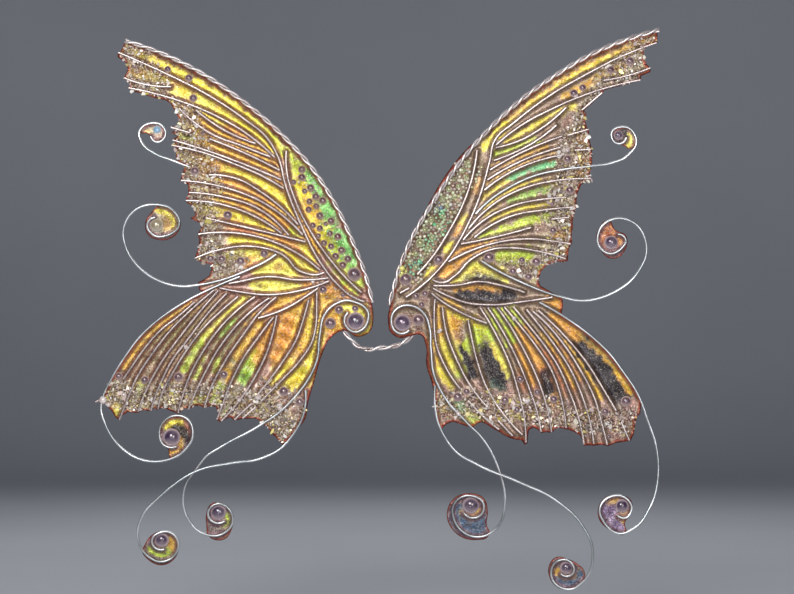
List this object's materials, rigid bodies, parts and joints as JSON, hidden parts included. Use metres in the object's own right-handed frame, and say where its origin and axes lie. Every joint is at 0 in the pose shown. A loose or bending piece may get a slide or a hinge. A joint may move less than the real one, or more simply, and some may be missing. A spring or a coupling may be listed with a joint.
{
  "type": "fairy wings",
  "caption": "Small pair of butterfly-shaped fairy wings: veined iridescent film on silver wire, with curling tendrils and half-pearls, joined by a bendable twisted wire bridge.",
  "frame": {"origin": "middle of the twisted bridge between the two wings, on its wire axis", "axes": "+X towards the right wing as seen from the front, +Z towards the forewing tips, -Y is the front that carries the wires and pearls"},
  "size_m": [0.141, 0.0068, 0.1402],
  "materials": {
    "left_film": "iridescent laminated film with fused glitter, gold and orange to violet",
    "right_film": "iridescent laminated film with fused glitter, bronze and green to violet",
    "disc_film": "the same film filling a tendril's spiral",
    "silver_wire": "bright drawn silver wire",
    "silver_wire_twisted": "bright silver wire twisted in pairs",
    "pearl_lilac": "pearlescent lilac half-pearl",
    "pearl_smoky": "smoky lustre half-pearl",
    "micro_bead": "clear green and yellow micro beads"
  },
  "bodies": {
    "bridge": {"bridge": "silver_wire_twisted"},
    "left_wing": {"left_bridge_tail": "silver_wire_twisted", "left_edge_beads": "micro_bead", "left_film": "left_film", "left_forewing_veins": "silver_wire", "left_hem_pearls": "pearl_smoky", "left_hindwing_veins": "silver_wire", "left_inner_rib": "silver_wire", "left_leading_edge_strand_a": "silver_wire_twisted", "left_leading_edge_strand_b": "silver_wire_twisted", "left_lens_veins": "silver_wire", "left_long_rib": "silver_wire", "left_lower_cabochon": "pearl_lilac", "left_lower_disc": "disc_film", "left_lower_tendril": "silver_wire", "left_middle_cabochon": "pearl_lilac", "left_middle_disc": "disc_film", "left_middle_tendril": "silver_wire", "left_neck": "silver_wire_twisted", "left_outer_cabochon": "pearl_lilac", "left_outer_disc": "disc_film", "left_outer_tendril": "silver_wire", "left_root_cabochon": "pearl_lilac", "left_root_pearls": "pearl_smoky", "left_tail_cabochon": "pearl_lilac", "left_tail_disc": "disc_film", "left_tail_tendril": "silver_wire", "left_upper_cabochon": "pearl_lilac", "left_upper_disc": "disc_film", "left_upper_tendril": "silver_wire"},
    "right_wing": {"right_bridge_tail": "silver_wire_twisted", "right_edge_beads": "micro_bead", "right_film": "right_film", "right_forewing_veins": "silver_wire", "right_hem_pearls": "pearl_smoky", "right_hindwing_veins": "silver_wire", "right_inner_rib": "silver_wire", "right_leading_edge_strand_a": "silver_wire_twisted", "right_leading_edge_strand_b": "silver_wire_twisted", "right_lens_veins": "silver_wire", "right_long_rib": "silver_wire", "right_lower_cabochon": "pearl_lilac", "right_lower_disc": "disc_film", "right_lower_tendril": "silver_wire", "right_middle_cabochon": "pearl_lilac", "right_middle_disc": "disc_film", "right_middle_tendril": "silver_wire", "right_neck": "silver_wire_twisted", "right_outer_cabochon": "pearl_lilac", "right_outer_disc": "disc_film", "right_outer_tendril": "silver_wire", "right_root_cabochon": "pearl_lilac", "right_root_pearls": "pearl_smoky", "right_tail_cabochon": "pearl_lilac", "right_tail_disc": "disc_film", "right_tail_tendril": "silver_wire", "right_upper_cabochon": "pearl_lilac", "right_upper_disc": "disc_film", "right_upper_tendril": "silver_wire"}
  },
  "joints": [
    {"name": "left_wing_fold", "type": "hinge", "parent": "bridge", "child": "left_wing", "pos_m": [-0.004, 0, 0], "axis": [0, 0, -1], "range_deg": [-20, 75], "deforming": ["left_neck"]},
    {"name": "right_wing_fold", "type": "hinge", "parent": "bridge", "child": "right_wing", "pos_m": [0.004, 0, 0], "axis": [0, 0, 1], "range_deg": [-20, 75], "deforming": ["right_neck"]}
  ]
}
